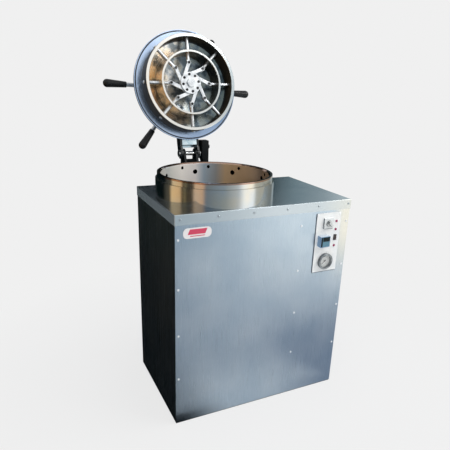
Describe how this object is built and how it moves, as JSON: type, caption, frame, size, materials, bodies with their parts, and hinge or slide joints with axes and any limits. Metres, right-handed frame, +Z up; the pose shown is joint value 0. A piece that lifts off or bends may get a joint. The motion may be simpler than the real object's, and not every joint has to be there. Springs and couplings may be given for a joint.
{
  "type": "vertical autoclave",
  "caption": "Floor-standing steel cabinet round a top-loading pressure vessel, with a hinged lid locked by radial bolts from a handwheel, for steam sterilising.",
  "frame": {"origin": "on the floor, under the middle of the cabinet", "axes": "+X to the right as the operator faces the front, +Y to the back, +Z up"},
  "size_m": [0.8735, 0.7525, 1.5524],
  "materials": {
    "brushed_stainless": "brushed",
    "satin_stainless": "satin",
    "polished_stainless": "polished",
    "frame_steel": "matte",
    "white_enamel": "gloss",
    "red_enamel": "gloss",
    "black_plastic": "satin",
    "grey_plastic": "satin",
    "keypad_film": "gloss",
    "lamp_lens": "gloss",
    "dial_white": "matte",
    "pointer_black": "matte",
    "gauge_glass": "clear",
    "copper_line": "satin",
    "valve_brass": "satin",
    "gasket_rubber": "matte",
    "white_plastic": "satin",
    "knob_grey": "satin",
    "insulation": "matte",
    "housing_black": "gloss",
    "zinc_screws": "zinc plated"
  },
  "bodies": {
    "cabinet": {"cabinet_frame": "frame_steel", "front_panel": "brushed_stainless", "left_panel": "brushed_stainless", "right_panel": "brushed_stainless", "back_panel": "brushed_stainless", "top_cover": "brushed_stainless", "case_screws": "zinc_screws", "control_plate": "white_enamel", "front_badge": "white_enamel", "selector_switch": "white_plastic", "controller_case": "grey_plastic", "controller_keypad": "keypad_film", "rocker_bezel": "black_plastic", "indicator_lamps": "lamp_lens", "gauge_case": "satin_stainless", "gauge_dial": "dial_white", "gauge_glass": "gauge_glass", "gauge_line": "copper_line", "collar_ring": "satin_stainless", "chamber_shell": "satin_stainless", "insulation_wrap": "insulation", "heating_elements": "satin_stainless", "load_grid": "satin_stainless", "drain_pipe": "satin_stainless", "drain_valve": "valve_brass", "safety_valve": "valve_brass", "contactor_box": "frame_steel", "cable_gland": "black_plastic", "hinge_bracket": "housing_black", "spring_housing": "housing_black"},
    "selector": {"selector_knob": "knob_grey"},
    "rocker": {"power_rocker": "black_plastic"},
    "pointer": {"gauge_pointer": "pointer_black"},
    "drain_handle": {"drain_lever": "red_enamel"},
    "lid": {"lid_plate": "satin_stainless", "plug_ring": "satin_stainless", "guide_ring": "satin_stainless", "lid_gasket": "gasket_rubber", "spindle_bush": "valve_brass", "lid_arm": "satin_stainless", "hinge_pin": "polished_stainless"},
    "wheel": {"drive_spindle": "polished_stainless", "handwheel": "satin_stainless", "bar_grips": "black_plastic"},
    "bolt_1": {"locking_bolt_1": "polished_stainless"},
    "link_1": {"bolt_link_1": "polished_stainless"},
    "bolt_2": {"locking_bolt_2": "polished_stainless"},
    "link_2": {"bolt_link_2": "polished_stainless"},
    "bolt_3": {"locking_bolt_3": "polished_stainless"},
    "link_3": {"bolt_link_3": "polished_stainless"},
    "bolt_4": {"locking_bolt_4": "polished_stainless"},
    "link_4": {"bolt_link_4": "polished_stainless"},
    "bolt_5": {"locking_bolt_5": "polished_stainless"},
    "link_5": {"bolt_link_5": "polished_stainless"},
    "bolt_6": {"locking_bolt_6": "polished_stainless"},
    "link_6": {"bolt_link_6": "polished_stainless"},
    "bolt_7": {"locking_bolt_7": "polished_stainless"},
    "link_7": {"bolt_link_7": "polished_stainless"},
    "bolt_8": {"locking_bolt_8": "polished_stainless"},
    "link_8": {"bolt_link_8": "polished_stainless"}
  },
  "joints": [
    {"name": "lid_hinge", "type": "hinge", "parent": "cabinet", "child": "lid", "pos_m": [-0.129, 0.296, 1.0265], "axis": [1, 0, 0], "range_deg": [0, 103]},
    {"name": "handwheel_turn", "type": "hinge", "parent": "lid", "child": "wheel", "pos_m": [-0.129, 0.41228, 1.30344], "axis": [0, 0.9744, -0.225], "range_deg": [0, 32]},
    {"name": "selector_turn", "type": "hinge", "parent": "cabinet", "child": "selector", "pos_m": [0.281, -0.25, 0.806], "axis": [0, 1, 0], "range_deg": [0, 90]},
    {"name": "rocker_tilt", "type": "hinge", "parent": "cabinet", "child": "rocker", "pos_m": [0.3245, -0.248, 0.7395], "axis": [1, 0, 0], "range_deg": [0, 20]},
    {"name": "pointer_swing", "type": "hinge", "parent": "cabinet", "child": "pointer", "pos_m": [0.283, -0.25, 0.6365], "axis": [0, 1, 0], "range_deg": [0, 270]},
    {"name": "drain_turn", "type": "hinge", "parent": "cabinet", "child": "drain_handle", "pos_m": [-0.129, 0.292, 0.138], "axis": [0, 0, 1], "range_deg": [0, 90]},
    {"name": "bolt_slide_1", "type": "slide", "parent": "lid", "child": "bolt_1", "axis": [1, 0, 0], "range_m": [0, 0.018]},
    {"name": "link_swing_1", "type": "hinge", "parent": "bolt_1", "child": "link_1", "pos_m": [-0.041, 0.28561, 1.33268], "axis": [0, 0.9744, -0.225], "range_deg": [-12.8, 0]},
    {"name": "bolt_slide_2", "type": "slide", "parent": "lid", "child": "bolt_2", "axis": [0.7071, -0.1591, -0.689], "range_m": [0, 0.018]},
    {"name": "link_swing_2", "type": "hinge", "parent": "bolt_2", "child": "link_2", "pos_m": [-0.06678, 0.27161, 1.27205], "axis": [0, 0.9744, -0.225], "range_deg": [-12.8, 0]},
    {"name": "bolt_slide_3", "type": "slide", "parent": "lid", "child": "bolt_3", "axis": [0, -0.225, -0.9744], "range_m": [0, 0.018]},
    {"name": "link_swing_3", "type": "hinge", "parent": "bolt_3", "child": "link_3", "pos_m": [-0.129, 0.26582, 1.24694], "axis": [0, 0.9744, -0.225], "range_deg": [-12.8, 0]},
    {"name": "bolt_slide_4", "type": "slide", "parent": "lid", "child": "bolt_4", "axis": [-0.7071, -0.1591, -0.689], "range_m": [0, 0.018]},
    {"name": "link_swing_4", "type": "hinge", "parent": "bolt_4", "child": "link_4", "pos_m": [-0.19123, 0.27161, 1.27205], "axis": [0, 0.9744, -0.225], "range_deg": [-12.8, 0]},
    {"name": "bolt_slide_5", "type": "slide", "parent": "lid", "child": "bolt_5", "axis": [-1, 0, 0], "range_m": [0, 0.018]},
    {"name": "link_swing_5", "type": "hinge", "parent": "bolt_5", "child": "link_5", "pos_m": [-0.217, 0.28561, 1.33268], "axis": [0, 0.9744, -0.225], "range_deg": [-12.8, 0]},
    {"name": "bolt_slide_6", "type": "slide", "parent": "lid", "child": "bolt_6", "axis": [-0.7071, 0.1591, 0.689], "range_m": [0, 0.018]},
    {"name": "link_swing_6", "type": "hinge", "parent": "bolt_6", "child": "link_6", "pos_m": [-0.19123, 0.29961, 1.39332], "axis": [0, 0.9744, -0.225], "range_deg": [-12.8, 0]},
    {"name": "bolt_slide_7", "type": "slide", "parent": "lid", "child": "bolt_7", "axis": [0, 0.225, 0.9744], "range_m": [0, 0.018]},
    {"name": "link_swing_7", "type": "hinge", "parent": "bolt_7", "child": "link_7", "pos_m": [-0.129, 0.30541, 1.41843], "axis": [0, 0.9744, -0.225], "range_deg": [-12.8, 0]},
    {"name": "bolt_slide_8", "type": "slide", "parent": "lid", "child": "bolt_8", "axis": [0.7071, 0.1591, 0.689], "range_m": [0, 0.018]},
    {"name": "link_swing_8", "type": "hinge", "parent": "bolt_8", "child": "link_8", "pos_m": [-0.06678, 0.29961, 1.39332], "axis": [0, 0.9744, -0.225], "range_deg": [-12.8, 0]}
  ],
  "couplings": [
    {"joint": "bolt_slide_1", "follows": "handwheel_turn", "m_per_rad": 0.032229},
    {"joint": "link_swing_1", "follows": "handwheel_turn", "ratio": -0.4},
    {"joint": "bolt_slide_2", "follows": "handwheel_turn", "m_per_rad": 0.032229},
    {"joint": "link_swing_2", "follows": "handwheel_turn", "ratio": -0.4},
    {"joint": "bolt_slide_3", "follows": "handwheel_turn", "m_per_rad": 0.032229},
    {"joint": "link_swing_3", "follows": "handwheel_turn", "ratio": -0.4},
    {"joint": "bolt_slide_4", "follows": "handwheel_turn", "m_per_rad": 0.032229},
    {"joint": "link_swing_4", "follows": "handwheel_turn", "ratio": -0.4},
    {"joint": "bolt_slide_5", "follows": "handwheel_turn", "m_per_rad": 0.032229},
    {"joint": "link_swing_5", "follows": "handwheel_turn", "ratio": -0.4},
    {"joint": "bolt_slide_6", "follows": "handwheel_turn", "m_per_rad": 0.032229},
    {"joint": "link_swing_6", "follows": "handwheel_turn", "ratio": -0.4},
    {"joint": "bolt_slide_7", "follows": "handwheel_turn", "m_per_rad": 0.032229},
    {"joint": "link_swing_7", "follows": "handwheel_turn", "ratio": -0.4},
    {"joint": "bolt_slide_8", "follows": "handwheel_turn", "m_per_rad": 0.032229},
    {"joint": "link_swing_8", "follows": "handwheel_turn", "ratio": -0.4}
  ]
}
